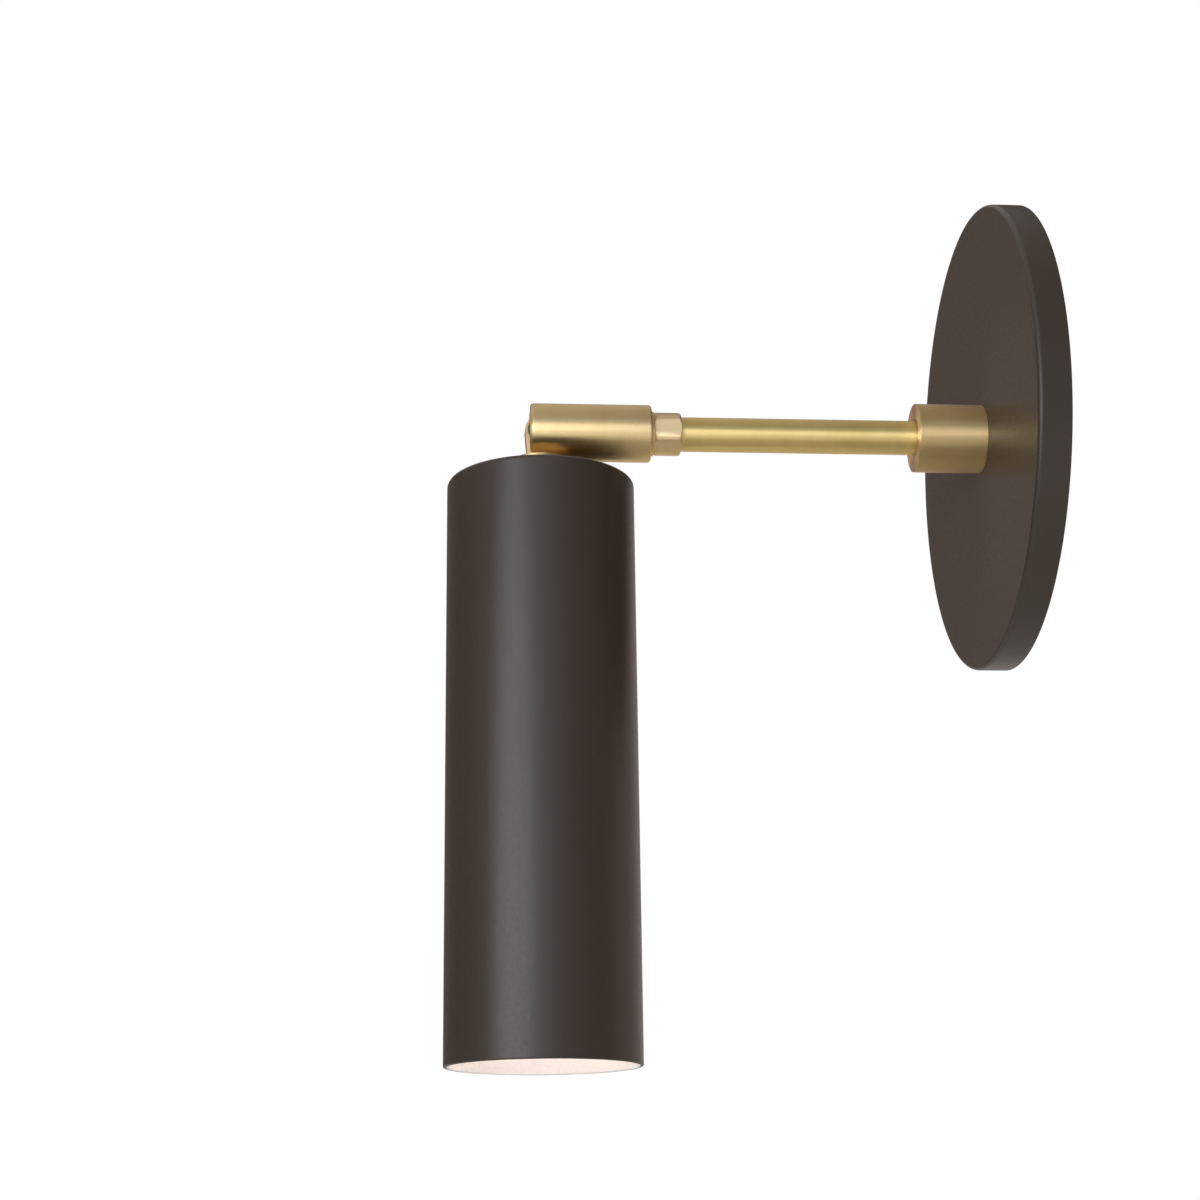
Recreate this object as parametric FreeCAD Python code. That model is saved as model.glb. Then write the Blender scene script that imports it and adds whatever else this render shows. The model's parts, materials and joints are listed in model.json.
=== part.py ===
"""Wall spotlight: a round wall plate, a straight brass arm, a swivel that turns about the arm
and tilts the shade, and a slim cylindrical shade with a small reflector lamp inside.

Millimetres. The wall is the plane y = 0, the origin is the centre of the wall plate's back,
the arm runs towards -Y and +Z is up. The shade hangs straight down at rest.
"""
import FreeCAD
import Part
import math
import os
from FreeCAD import Vector

# Fits and clearances
fit_clearance = 0.05            # radial, a rod, thread or pin in its hole
running_gap = 0.1               # between faces that slide on each other
swing_clearance = 0.4           # between the tongue's hub and the knuckle as the shade tilts
end_gap = 0.5                   # past the end of a rod in a blind hole
overrun = 1.0                   # how far a cutting tool passes the face that it opens
edge_steps = 3                  # flats that make up a quarter round on a turned edge

# Threaded pipe, with the nuts and toothed washers that fit it
pipe_diameter = 9.525
pipe_bore = 6.4
nut_across_flats = 14.3
nut_thickness = 3.2
lock_washer_width = 2.7
lock_washer_thickness = 0.8
lock_washer_tooth_gap = 1.2
lock_washer_teeth = 8

# Crossbar on the wall
bar_width = 17.5
bar_thickness = 1.6
bar_side_gap = 11.0
bar_corner_round = 3.5
slot_spacing_share = 0.7625
slot_length_share = 0.135
slot_width = 4.6
ground_screw_share = 0.19
ground_screw_diameter = 3.5
ground_screw_head_diameter = 7.0
ground_screw_head_height = 2.2
driver_slot_width = 0.9
driver_slot_depth_share = 0.45
head_chamfer_share = 0.3

# Wall plate, a shallow pan over the crossbar
plate_diameter = 129.0
plate_wall = 1.5
plate_edge_round = 1.3
plate_dish_depth = 1.3          # how far the collar draws the face in at its middle
pan_room = 1.6

# Collar that clamps the plate and carries the stem
collar_diameter = 19.05
collar_length = 18.8
collar_edge_chamfer = 0.4
collar_mouth_chamfer = 0.8
collar_nipple_share = 0.43
collar_stem_share = 0.5

# Stem tube
stem_diameter = 9.525
stem_wall = 0.81
stem_show_length = 65.5

# Hexagon shank between stem and knuckle
hex_step = 0.84
hex_corner_share = 0.664
hex_length = 7.4
hex_chamfer = 0.5
tenon_length = 8.0
tenon_wall = 1.4
spigot_wall = 2.0
spigot_share = 0.42
groove_depth_share = 0.5
stop_lug_angle = 10.0
turn_washer_width = 1.675
turn_washer_thickness = 0.7

# Knuckle, slotted at its front for the tongue
knuckle_diameter = 15.875
knuckle_length = 33.3
knuckle_edge_round = 1.1
knuckle_wire_bore = 5.5
turn_pin_diameter = 1.6
turn_pin_setback = 4.5
fork_slot_width = 5.4
fork_end_wall = 0.65
wire_room = 4.2

# Pivot across the fork
pivot_diameter = 3.0
pivot_head_diameter = 4.6
pivot_head_height = 1.6
pivot_head_recess = 0.5
pivot_blind_wall = 1.7
pivot_washer_diameter = 7.0
pivot_washer_thickness = 0.4

# Tongue and hub that carry the shade
nose_radius = 4.3
tongue_root_width = 7.2
hub_diameter = 15.875
hub_length = 6.86
hub_edge_chamfer = 0.4
hub_thread_share = 0.72
wire_way_diameter = 3.0
wire_way_exit_share = 0.45

# Shade
shade_diameter = 50.8
shade_length = 155.8
shade_wall = 1.2
shade_top_wall = 1.5
shade_top_round = 1.3

# Bent strap for the lamp holder
bracket_drop_share = 0.255
bracket_span = 24.6
bracket_width = 12.7
bracket_height = 15.0
bracket_thickness = 1.2
bracket_bend_round = 2.0
bracket_foot_length = 6.8
nipple_proud = 1.0

# Ceramic lamp holder with its contacts and screws
holder_diameter = 25.4
holder_length = 17.0
holder_back_wall = 3.0
holder_front_wall = 4.5
holder_screw_spacing = 15.0
holder_screw_diameter = 3.0
holder_screw_head_diameter = 5.4
holder_screw_head_height = 1.9
holder_screw_depth = 6.0
lead_hole_diameter = 2.4
contact_thickness = 0.5
contact_width = 4.0
contact_side_room = 0.7

# Small reflector lamp
lamp_side_gap = 6.55
lamp_length = 46.0
lamp_rim_length = 5.0
lamp_edge_chamfer = 0.6
lamp_base_diameter = 22.0
lamp_base_length = 20.0
lamp_neck_depth = 1.0
lamp_neck_length = 5.0
lens_rim_width = 2.1
lens_thickness = 2.6
lens_edge_chamfer = 0.7
lens_recess = 0.5
lamp_pin_spacing = 10.0
lamp_pin_diameter = 3.0
lamp_pin_length = 7.5
lamp_pin_head_diameter = 5.0
lamp_pin_head_length = 2.5
lamp_pin_room = 0.2

full_turn = 360.0
half_turn = 180.0
quarter_turn = 90.0
hexagon_sides = 6
X_AXIS = Vector(1, 0, 0)
Y_AXIS = Vector(0, 1, 0)
Z_AXIS = Vector(0, 0, 1)

# Diameters of the pieces that fit together
pipe_hole = pipe_diameter + 2 * fit_clearance
stem_bore = stem_diameter - 2 * stem_wall
tenon_diameter = stem_bore - 2 * fit_clearance
shank_bore = tenon_diameter - 2 * tenon_wall
spigot_diameter = shank_bore + 2 * spigot_wall
spigot_hole = spigot_diameter + 2 * fit_clearance
turn_washer_diameter = spigot_diameter + 2 * turn_washer_width
hex_across_flats = stem_diameter + 2 * hex_step
plate_inner_diameter = plate_diameter - 2 * plate_wall
shade_inner_diameter = shade_diameter - 2 * shade_wall
lamp_diameter = shade_inner_diameter - 2 * lamp_side_gap
lens_diameter = lamp_diameter - 2 * lens_rim_width

# Distances from the wall, along the arm
bar_length = plate_inner_diameter - 2 * bar_side_gap
bar_nut_start = bar_thickness + lock_washer_thickness
plate_inner_depth = bar_nut_start + nut_thickness + pan_room
plate_depth = plate_inner_depth + plate_wall
collar_start = plate_depth - plate_dish_depth
collar_end = collar_start + collar_length
hex_start = collar_end + stem_show_length
hex_end = hex_start + hex_length
knuckle_start = hex_end + turn_washer_thickness + running_gap
knuckle_end = knuckle_start + knuckle_length
pivot_setback = pivot_head_diameter / 2 + fit_clearance + fork_end_wall
pivot_reach = knuckle_end - pivot_setback

# Along the knuckle, from its end nearer the wall
pivot_height = knuckle_length - pivot_setback
fork_slot_floor = pivot_height - nose_radius - wire_room
spigot_length = knuckle_length * spigot_share

# Depths below the pivot, down the shade
corner_setback = pivot_setback - knuckle_edge_round
corner_drop = knuckle_diameter / 2 - knuckle_edge_round
knuckle_swing_reach = math.hypot(corner_setback, corner_drop) + knuckle_edge_round
hub_top = knuckle_swing_reach + swing_clearance
shade_top = hub_top + hub_length
hub_thread_length = hub_length * hub_thread_share
hub_thread_floor = shade_top - hub_thread_length
shade_nut_start = shade_top + shade_top_wall + lock_washer_thickness
bracket_top = shade_top + shade_length * bracket_drop_share
holder_back = bracket_top + bracket_height
lamp_back = holder_back + holder_length
lamp_front = lamp_back + lamp_length
shade_nipple_start = hub_thread_floor + end_gap
shade_nipple_end = bracket_top + bracket_thickness + nut_thickness + nipple_proud

# Across the fork, from its middle
pivot_hole = pivot_diameter + 2 * fit_clearance
pivot_head_face = knuckle_diameter / 2 - pivot_head_recess
pivot_head_seat = pivot_head_face - pivot_head_height
pivot_tip = knuckle_diameter / 2 - pivot_blind_wall
tongue_thickness = fork_slot_width - 2 * (pivot_washer_thickness + running_gap)


def rod(diameter, start, end, x=0, y=0):
    """Cylinder parallel to Z between two heights."""
    return Part.makeCylinder(diameter / 2, end - start, Vector(x, y, start), Z_AXIS)


def cross_rod(diameter, start, end, height):
    """Cylinder parallel to X between two places, at one height."""
    return Part.makeCylinder(diameter / 2, end - start, Vector(start, 0, height), X_AXIS)


def block(size_x, size_y, start, end, x=0, y=0):
    """Box centred on x and y between two heights."""
    corner = Vector(x - size_x / 2, y - size_y / 2, start)
    return Part.makeBox(size_x, size_y, end - start, corner)


def turned(outline):
    """Solid of revolution about Z from its (radius, height) outline."""
    points = [Vector(radius, 0, height) for radius, height in outline]
    face = Part.Face(Part.makePolygon(points + points[:1]))
    return face.revolve(Vector(), Z_AXIS, full_turn)


def quarter_round(radius, height, size, first, last):
    """Outline points of a quarter round about its centre, between two angles in degrees."""
    points = []
    for index in range(edge_steps + 1):
        angle = math.radians(first + (last - first) * index / edge_steps)
        points.append((radius + size * math.cos(angle), height + size * math.sin(angle)))
    return points


def hexagon(across_flats, start, end):
    """Hexagonal prism along Z with two flats square to X."""
    corner_radius = across_flats / 2 / math.cos(math.pi / hexagon_sides)
    points = []
    for index in range(hexagon_sides + 1):
        angle = math.pi * (2 * index + 1) / hexagon_sides
        points.append(Vector(corner_radius * math.cos(angle), corner_radius * math.sin(angle), start))
    return Part.Face(Part.makePolygon(points)).extrude(Z_AXIS * (end - start))


def chamfered_rod(diameter, start, end, chamfer):
    """Cylinder with both ends chamfered."""
    radius = diameter / 2
    return turned([(0, start), (radius - chamfer, start), (radius, start + chamfer),
                   (radius, end - chamfer), (radius - chamfer, end), (0, end)])


def rounded_rod(diameter, start, end, size):
    """Cylinder with the rims of both ends rounded."""
    centre = diameter / 2 - size
    outline = [(0, start)] + quarter_round(centre, start + size, size, -quarter_turn, 0)
    outline += quarter_round(centre, end - size, size, 0, quarter_turn) + [(0, end)]
    return turned(outline)


def on_arm(shape, distance):
    """Lay a piece modelled up Z along the arm, its base at a distance from the wall."""
    laid = shape.copy()
    laid.rotate(Vector(), X_AXIS, quarter_turn)
    laid.translate(Vector(0, -distance, 0))
    return laid


def below_pivot(shape, depth=0):
    """Hang a piece modelled up Z from the pivot, its base at a depth below it."""
    hung = shape.copy()
    hung.rotate(Vector(), X_AXIS, half_turn)
    hung.translate(Vector(0, -pivot_reach, -depth))
    return hung


def hex_nut():
    """Hexagon nut on the threaded pipe."""
    return hexagon(nut_across_flats, 0, nut_thickness).cut(rod(pipe_hole, 0, nut_thickness))


def lock_washer():
    """Washer with teeth round its edge."""
    diameter = pipe_hole + 2 * lock_washer_width
    washer = rod(diameter, 0, lock_washer_thickness).cut(rod(pipe_hole, 0, lock_washer_thickness))
    gap_bottom = (pipe_hole + lock_washer_width) / 2
    tooth_gap = block(lock_washer_width, lock_washer_tooth_gap, 0, lock_washer_thickness,
                      x=gap_bottom + lock_washer_width / 2)
    gaps = []
    for index in range(lock_washer_teeth):
        gap = tooth_gap.copy()
        gap.rotate(Vector(), Z_AXIS, full_turn * index / lock_washer_teeth)
        gaps.append(gap)
    return washer.cut(gaps)


def threaded_pipe(length):
    """Hollow nipple."""
    return rod(pipe_diameter, 0, length).cut(rod(pipe_bore, 0, length))


def slotted_head(diameter, start, end):
    """Round screw head with its far rim chamfered and a driver slot in its end."""
    height = end - start
    radius = diameter / 2
    chamfer = height * head_chamfer_share
    head = turned([(0, start), (radius, start), (radius, end - chamfer), (radius - chamfer, end),
                   (0, end)])
    slot_floor = end - height * driver_slot_depth_share
    return head.cut(block(diameter, driver_slot_width, slot_floor, end))


def wall_plate():
    """Shallow pan, open towards the wall, its face drawn in to a flat seat for the collar."""
    outline = [(plate_inner_diameter / 2, 0), (plate_diameter / 2, 0)]
    outline += quarter_round(plate_diameter / 2 - plate_edge_round, plate_depth - plate_edge_round,
                             plate_edge_round, 0, quarter_turn)
    seat_radius = collar_diameter / 2 + fit_clearance
    outline += [(seat_radius, collar_start), (pipe_hole / 2, collar_start),
                (pipe_hole / 2, collar_start - plate_wall), (seat_radius, collar_start - plate_wall),
                (plate_inner_diameter / 2, plate_inner_depth)]
    return on_arm(turned(outline), 0)


def bar_slot(x):
    """Cutting tool for one long hole of the crossbar."""
    run = bar_length * slot_length_share - slot_width
    slot = block(run, slot_width, 0, bar_thickness, x=x)
    for end in (x - run / 2, x + run / 2):
        slot = slot.fuse(rod(slot_width, 0, bar_thickness, x=end))
    return slot


def mounting_bar():
    """Flat crossbar with two long holes, a threaded middle and a hole for the earth screw."""
    bar = block(bar_length, bar_width, 0, bar_thickness)
    upright = [edge for edge in bar.Edges if abs(edge.tangentAt(edge.FirstParameter).z) == 1]
    bar = bar.makeFillet(bar_corner_round, upright)
    slot_place = bar_length * slot_spacing_share / 2
    ground_hole = rod(ground_screw_diameter + 2 * fit_clearance, 0, bar_thickness,
                      x=bar_length * ground_screw_share)
    tools = [bar_slot(-slot_place), bar_slot(slot_place), ground_hole,
             rod(pipe_hole, 0, bar_thickness)]
    return on_arm(bar.cut(tools), 0)


def bar_nipple():
    """Nipple from the crossbar into the collar."""
    return on_arm(threaded_pipe(collar_start + collar_length * collar_nipple_share), 0)


def ground_screw():
    """Earth screw of the crossbar."""
    shank = rod(ground_screw_diameter, 0, bar_thickness)
    head = slotted_head(ground_screw_head_diameter, bar_thickness,
                        bar_thickness + ground_screw_head_height)
    screw = shank.fuse(head)
    screw.translate(X_AXIS * (bar_length * ground_screw_share))
    return on_arm(screw, 0)


def collar():
    """Brass sleeve, threaded on the nipple behind and on the stem in front."""
    sleeve = chamfered_rod(collar_diameter, 0, collar_length, collar_edge_chamfer)
    stem_hole = stem_diameter + 2 * fit_clearance
    stem_floor = collar_length - collar_length * collar_stem_share
    mouth = turned([(0, collar_length - collar_mouth_chamfer),
                    (stem_hole / 2, collar_length - collar_mouth_chamfer),
                    (stem_hole / 2 + collar_mouth_chamfer, collar_length), (0, collar_length)])
    tools = [rod(pipe_hole, 0, stem_floor), rod(stem_hole, stem_floor, collar_length), mouth]
    return on_arm(sleeve.cut(tools), collar_start)


def stem_tube():
    """Brass tube from inside the collar to the hexagon."""
    start = collar_end - collar_length * collar_stem_share
    length = hex_start - start
    tube = rod(stem_diameter, 0, length).cut(rod(stem_bore, 0, length))
    return on_arm(tube, start)


def shank_groove(height):
    """Ring groove for the turn pin, broken by a stop lug on the far side from the pin."""
    floor_radius = spigot_diameter / 2 - spigot_wall * groove_depth_share
    half_width = turn_pin_diameter / 2 + running_gap
    top_radius = spigot_diameter / 2 + overrun
    corners = [Vector(floor_radius, 0, height - half_width), Vector(top_radius, 0, height - half_width),
               Vector(top_radius, 0, height + half_width), Vector(floor_radius, 0, height + half_width)]
    section = Part.Face(Part.makePolygon(corners + corners[:1]))
    section.rotate(Vector(), Z_AXIS, half_turn + stop_lug_angle / 2)
    return section.revolve(Vector(), Z_AXIS, full_turn - stop_lug_angle)


def swivel_shank():
    """Hexagon with a tenon in the stem, and a grooved spigot on which the knuckle turns."""
    corner_diameter = hex_across_flats / math.cos(math.pi / hexagon_sides)
    turned_diameter = hex_across_flats + (corner_diameter - hex_across_flats) * hex_corner_share
    turned_corners = chamfered_rod(turned_diameter, 0, hex_length, hex_chamfer)
    body = hexagon(hex_across_flats, 0, hex_length).common(turned_corners)
    spigot_base = hex_length + turn_washer_thickness + running_gap
    spigot_end = spigot_base + spigot_length
    body = body.fuse([rod(tenon_diameter, -tenon_length, 0), rod(spigot_diameter, hex_length, spigot_end)])
    body = body.cut([rod(shank_bore, -tenon_length, spigot_end),
                     shank_groove(spigot_base + turn_pin_setback)])
    return on_arm(body.removeSplitter(), hex_start)


def turn_washer():
    """Thin washer between the hexagon and the knuckle."""
    washer = rod(turn_washer_diameter, 0, turn_washer_thickness)
    return on_arm(washer.cut(rod(spigot_hole, 0, turn_washer_thickness)), hex_end)


def swivel_knuckle():
    """Long round body, bored for the spigot and slotted for the tongue."""
    body = rounded_rod(knuckle_diameter, 0, knuckle_length, knuckle_edge_round)
    outside = knuckle_diameter / 2 + overrun
    spigot_floor = spigot_length + end_gap
    fork_slot = block(fork_slot_width, 2 * outside, fork_slot_floor, knuckle_length + overrun)
    pin_hole = cross_rod(turn_pin_diameter + 2 * fit_clearance, 0, outside, turn_pin_setback)
    pivot_way = cross_rod(pivot_hole, -outside, pivot_tip + end_gap, pivot_height)
    head_way = cross_rod(pivot_head_diameter + 2 * fit_clearance, -outside, -pivot_head_seat,
                         pivot_height)
    tools = [rod(spigot_hole, 0, spigot_floor), rod(knuckle_wire_bore, 0, fork_slot_floor),
             fork_slot, pin_hole, pivot_way, head_way]
    return on_arm(body.cut(tools), knuckle_start)


def turn_pin():
    """Pin through the knuckle's wall into the groove, its outer end flush."""
    groove_floor = spigot_diameter / 2 - spigot_wall * groove_depth_share
    pin = cross_rod(turn_pin_diameter, groove_floor + running_gap, knuckle_diameter, turn_pin_setback)
    return on_arm(pin.common(rod(knuckle_diameter, 0, knuckle_length)), knuckle_start)


def pivot_screw():
    """Cross screw with a slotted head in the far cheek and its tip in the near one."""
    screw = rod(pivot_diameter, -pivot_tip, pivot_head_seat)
    screw = screw.fuse(slotted_head(pivot_head_diameter, pivot_head_seat, pivot_head_face))
    screw.rotate(Vector(), Y_AXIS, -quarter_turn)
    screw.translate(Z_AXIS * pivot_height)
    return on_arm(screw, knuckle_start)


def pivot_washers():
    """Two friction washers, one against each cheek."""
    washers = []
    for start in (-fork_slot_width / 2, fork_slot_width / 2 - pivot_washer_thickness):
        end = start + pivot_washer_thickness
        washer = cross_rod(pivot_washer_diameter, start, end, pivot_height)
        washers.append(washer.cut(cross_rod(pivot_hole, start, end, pivot_height)))
    return on_arm(Part.makeCompound(washers), knuckle_start)


def tongue_blade():
    """Flat blade with a round nose about the pivot, narrowing to its root in the hub."""
    nose = Part.Arc(Vector(0, nose_radius, 0), Vector(0, 0, -nose_radius), Vector(0, -nose_radius, 0))
    root = hub_top + hub_edge_chamfer
    left = Vector(0, -tongue_root_width / 2, root)
    right = Vector(0, tongue_root_width / 2, root)
    sides = [Part.LineSegment(Vector(0, -nose_radius, 0), left), Part.LineSegment(left, right),
             Part.LineSegment(right, Vector(0, nose_radius, 0))]
    outline = Part.Wire([curve.toShape() for curve in [nose] + sides])
    blade = Part.Face(outline).extrude(X_AXIS * tongue_thickness)
    blade.translate(X_AXIS * (-tongue_thickness / 2))
    return blade


def wire_way():
    """Slanted hole for the leads, from the thread up to the blade's edge on the wall side."""
    start = Vector(0, 0, hub_thread_floor + wire_way_diameter / 2)
    finish = Vector(0, -nose_radius, hub_top * wire_way_exit_share)
    run = finish - start
    return Part.makeCylinder(wire_way_diameter / 2, run.Length + overrun, start, run)


def swivel_tongue():
    """Tongue with its round hub, bored for the pivot, the nipple and the leads."""
    hub_radius = hub_diameter / 2
    hub = turned([(0, hub_top), (hub_radius - hub_edge_chamfer, hub_top),
                  (hub_radius, hub_top + hub_edge_chamfer), (hub_radius, shade_top), (0, shade_top)])
    body = hub.fuse(tongue_blade())
    pivot_way = cross_rod(pivot_hole, -tongue_thickness, tongue_thickness, 0)
    body = body.cut([pivot_way, rod(pipe_hole, hub_thread_floor, shade_top), wire_way()])
    return below_pivot(body.removeSplitter())


def shade():
    """Round tube closed at its top, with a hole for the nipple."""
    radius = shade_diameter / 2
    inner_radius = shade_inner_diameter / 2
    outline = [(pipe_hole / 2, 0)]
    outline += quarter_round(radius - shade_top_round, shade_top_round, shade_top_round, -quarter_turn, 0)
    outline += [(radius, shade_length), (inner_radius, shade_length), (inner_radius, shade_top_wall),
                (pipe_hole / 2, shade_top_wall)]
    return below_pivot(turned(outline), shade_top)


def shade_nipple():
    """Nipple from the hub through the shade's top down to the lamp bracket."""
    return below_pivot(threaded_pipe(shade_nipple_end - shade_nipple_start), shade_nipple_start)


def bracket_nuts():
    """The nuts above and below the bracket's web."""
    nuts = [below_pivot(hex_nut(), bracket_top - nut_thickness),
            below_pivot(hex_nut(), bracket_top + bracket_thickness)]
    return Part.makeCompound(nuts)


def holder_bracket():
    """Strap bent round into a frame that is open between its two feet."""
    strap = block(bracket_width, bracket_span, 0, bracket_height)
    bends = [edge for edge in strap.Edges if abs(edge.tangentAt(edge.FirstParameter).x) == 1]
    strap = strap.makeFillet(bracket_bend_round, bends)
    inner_span = bracket_span - 2 * bracket_thickness
    inside = block(bracket_width, inner_span, bracket_thickness, bracket_height - bracket_thickness)
    corners = [edge for edge in inside.Edges if abs(edge.tangentAt(edge.FirstParameter).x) == 1]
    inside = inside.makeFillet(bracket_bend_round - bracket_thickness, corners)
    foot_gap = bracket_span - 2 * bracket_foot_length
    feet_gap = block(bracket_width, foot_gap, bracket_height - 2 * bracket_thickness, bracket_height)
    tools = [inside, feet_gap, rod(pipe_hole, 0, bracket_thickness)]
    for y in (-holder_screw_spacing / 2, holder_screw_spacing / 2):
        tools.append(rod(holder_screw_diameter + 2 * fit_clearance,
                         bracket_height - bracket_thickness, bracket_height, y=y))
    return below_pivot(strap.cut(tools), bracket_top)


def contact_size():
    """Outer width of a contact, round the head of a lamp pin."""
    return lamp_pin_head_diameter + 2 * (fit_clearance + contact_thickness)


def lampholder():
    """Ceramic body with two pin sockets, each opening into a chamber for its contact."""
    body = rod(holder_diameter, 0, holder_length)
    chamber_end = holder_length - holder_front_wall
    tools = []
    for x in (-lamp_pin_spacing / 2, lamp_pin_spacing / 2):
        tools.append(block(contact_size() + contact_side_room, contact_size() + contact_side_room,
                           holder_back_wall, chamber_end, x=x))
        tools.append(rod(lamp_pin_head_diameter + 2 * lamp_pin_room, chamber_end, holder_length, x=x))
        tools.append(rod(lead_hole_diameter, 0, holder_back_wall, x=x))
    for y in (-holder_screw_spacing / 2, holder_screw_spacing / 2):
        tools.append(rod(holder_screw_diameter + 2 * fit_clearance, 0, holder_screw_depth, y=y))
    return below_pivot(body.cut(tools), holder_back)


def holder_contacts():
    """Two spring clips, each a bent strip round the head of a lamp pin."""
    height = holder_length - holder_front_wall - holder_back_wall - running_gap
    clips = []
    for x in (-lamp_pin_spacing / 2, lamp_pin_spacing / 2):
        strip = block(contact_size(), contact_width, 0, height, x=x)
        inner_width = contact_size() - 2 * contact_thickness
        clips.append(strip.cut(block(inner_width, contact_width, contact_thickness, height, x=x)))
    return below_pivot(Part.makeCompound(clips), holder_back + holder_back_wall)


def holder_screws():
    """Two screws from the bracket's feet into the holder."""
    screws = []
    foot_top = -bracket_thickness
    for y in (-holder_screw_spacing / 2, holder_screw_spacing / 2):
        head = slotted_head(holder_screw_head_diameter, 0, holder_screw_head_height)
        head.rotate(Vector(), X_AXIS, half_turn)
        head.translate(Vector(0, y, foot_top))
        shank = rod(holder_screw_diameter, foot_top, holder_screw_depth - end_gap, y=y)
        screws.append(head.fuse(shank))
    return below_pivot(Part.makeCompound(screws), holder_back)


def lamp_body():
    """Base with a neck that flares out to the rim round the lens."""
    base_radius = lamp_base_diameter / 2
    neck_radius = base_radius - lamp_neck_depth
    rim_radius = lamp_diameter / 2
    lens_hole = lens_diameter / 2 + fit_clearance
    lens_floor = lamp_length - lens_recess - lens_thickness
    outline = [(0, 0), (base_radius, 0), (base_radius, lamp_base_length - lamp_neck_length),
               (neck_radius, lamp_base_length - lamp_neck_length), (neck_radius, lamp_base_length),
               (rim_radius, lamp_length - lamp_rim_length),
               (rim_radius, lamp_length - lamp_edge_chamfer),
               (rim_radius - lamp_edge_chamfer, lamp_length), (lens_hole, lamp_length),
               (lens_hole, lens_floor), (0, lens_floor)]
    return below_pivot(turned(outline), lamp_back)


def lamp_pins():
    """Two headed pins out of the back of the lamp."""
    pins = []
    head_start = lamp_pin_head_length - lamp_pin_length
    for x in (-lamp_pin_spacing / 2, lamp_pin_spacing / 2):
        shank = rod(lamp_pin_diameter, head_start, 0, x=x)
        head = rod(lamp_pin_head_diameter, -lamp_pin_length, head_start, x=x)
        pins.append(shank.fuse(head))
    return below_pivot(Part.makeCompound(pins), lamp_back)


def lamp_lens():
    """Round lens with a bevelled front edge."""
    radius = lens_diameter / 2
    lens = turned([(0, 0), (radius, 0), (radius, lens_thickness - lens_edge_chamfer),
                   (radius - lens_edge_chamfer, lens_thickness), (0, lens_thickness)])
    return below_pivot(lens, lamp_front - lens_recess - lens_thickness)


def turn_limit():
    """Angle that the knuckle turns each way before the pin meets the stop lug."""
    floor_radius = spigot_diameter / 2 - spigot_wall * groove_depth_share
    pin_angle = math.degrees(math.asin((turn_pin_diameter / 2 + running_gap) / floor_radius))
    return half_turn - stop_lug_angle / 2 - pin_angle


def pieces():
    """Every piece of the spotlight by name."""
    return {
        "wall_plate": wall_plate(),
        "mounting_bar": mounting_bar(),
        "bar_nipple": bar_nipple(),
        "bar_lock_washer": on_arm(lock_washer(), bar_thickness),
        "bar_lock_nut": on_arm(hex_nut(), bar_nut_start),
        "ground_screw": ground_screw(),
        "collar": collar(),
        "stem_tube": stem_tube(),
        "swivel_shank": swivel_shank(),
        "turn_washer": turn_washer(),
        "swivel_knuckle": swivel_knuckle(),
        "turn_pin": turn_pin(),
        "pivot_screw": pivot_screw(),
        "pivot_washers": pivot_washers(),
        "swivel_tongue": swivel_tongue(),
        "shade": shade(),
        "shade_nipple": shade_nipple(),
        "shade_lock_washer": below_pivot(lock_washer(), shade_top + shade_top_wall),
        "shade_lock_nut": below_pivot(hex_nut(), shade_nut_start),
        "holder_bracket": holder_bracket(),
        "bracket_nuts": bracket_nuts(),
        "lampholder": lampholder(),
        "holder_contacts": holder_contacts(),
        "holder_screws": holder_screws(),
        "lamp_body": lamp_body(),
        "lamp_pins": lamp_pins(),
        "lamp_lens": lamp_lens(),
    }


os.makedirs("parts", exist_ok=True)
for name, shape in pieces().items():
    shape.exportStep("parts/" + name + ".step")
    print(name, "solids", len(shape.Solids), "valid", shape.isValid(), "volume", round(shape.Volume, 2))
print("pivot", round(-pivot_reach, 3), "turn limit", round(turn_limit(), 2))
print("shade top", round(-shade_top, 3), "lamp front", round(-lamp_front, 3))
print("slot spacing", round(bar_length * slot_spacing_share, 3), "slot length",
      round(bar_length * slot_length_share, 3))
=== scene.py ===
"""Wall spotlight: the looks of its plate, brass arm, swivel and shade.

The pieces are turned and cut from their real sizes in millimetres and then laid in the model's
frame in metres: the wall is the plane y = 0, the arm runs towards -Y, +Z is up.
"""
from __future__ import annotations

import json
import logging
import math
from dataclasses import dataclass
from enum import Enum
from typing import ClassVar

import bmesh
import bpy
from mathutils import Matrix, Vector

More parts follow.
